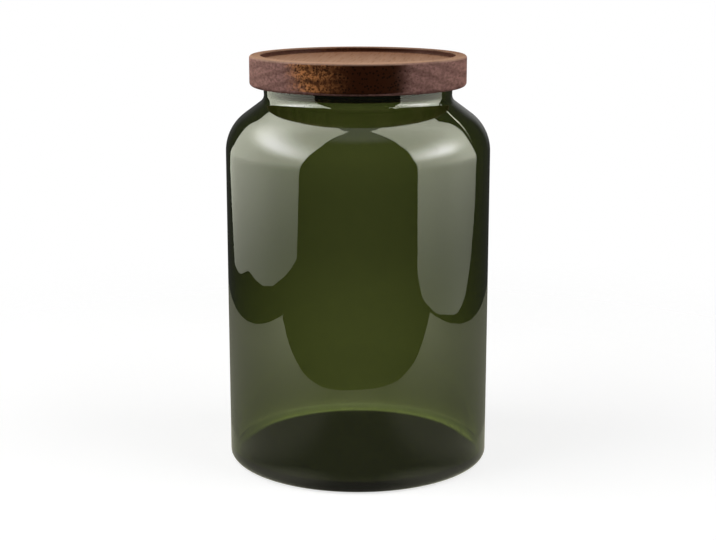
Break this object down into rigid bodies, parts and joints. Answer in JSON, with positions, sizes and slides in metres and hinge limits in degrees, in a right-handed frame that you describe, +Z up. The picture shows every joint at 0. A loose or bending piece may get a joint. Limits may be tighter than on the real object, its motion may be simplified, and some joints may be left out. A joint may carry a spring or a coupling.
{
  "type": "lidded jar",
  "caption": "Straight-sided tinted glass storage jar with a rounded shoulder and wide mouth, closed by a turned wooden plug lid with a finned seal ring.",
  "frame": {"origin": "centre of the foot ring, on the surface that the jar stands on", "axes": "+Z up along the jar's axis, -Y towards the viewer of the picture"},
  "size_m": [0.13, 0.13, 0.202],
  "materials": {
    "olive_glass": "polished olive green tinted glass",
    "lid_wood": "oiled dark brown hardwood, satin",
    "seal_silicone": "matt black silicone rubber"
  },
  "bodies": {
    "jar": {"glass_jar": "olive_glass"},
    "seal": {"seal_ring": "seal_silicone"},
    "lid": {"wooden_lid": "lid_wood"}
  },
  "joints": [
    {"name": "lid_lift", "type": "slide", "parent": "jar", "child": "seal", "axis": [0, 0, 1], "range_m": [0, 0.12]},
    {"name": "lid_turn", "type": "hinge", "parent": "seal", "child": "lid", "pos_m": [0, 0, 0.191], "axis": [0, 0, 1], "continuous": true}
  ]
}
